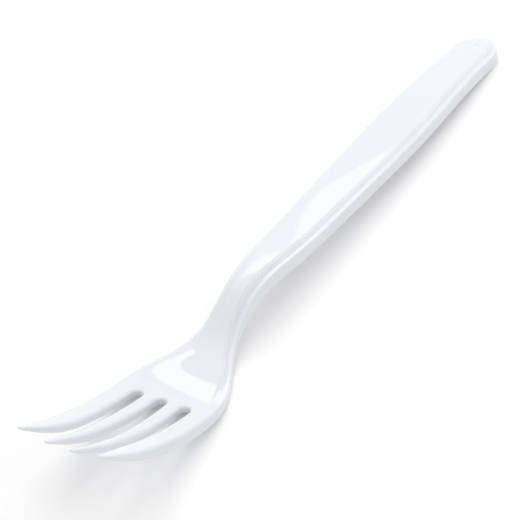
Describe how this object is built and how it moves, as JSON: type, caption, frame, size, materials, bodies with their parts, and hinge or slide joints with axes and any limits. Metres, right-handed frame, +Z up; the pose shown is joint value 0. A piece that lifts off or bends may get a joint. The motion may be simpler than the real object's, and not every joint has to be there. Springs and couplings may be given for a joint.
{
  "type": "plastic fork",
  "caption": "One-piece moulded plastic fork with curved tines, a stepped neck and a bordered channel-section handle.",
  "frame": {"origin": "on the table, under the middle of the fork's length and width", "axes": "+X across the fork, +Y from the tines towards the handle's end, +Z up"},
  "size_m": [0.0246, 0.1834, 0.0221],
  "materials": {
    "white_plastic": "glossy injection-moulded white polystyrene"
  },
  "bodies": {
    "root": {"fork": "white_plastic"}
  },
  "joints": []
}
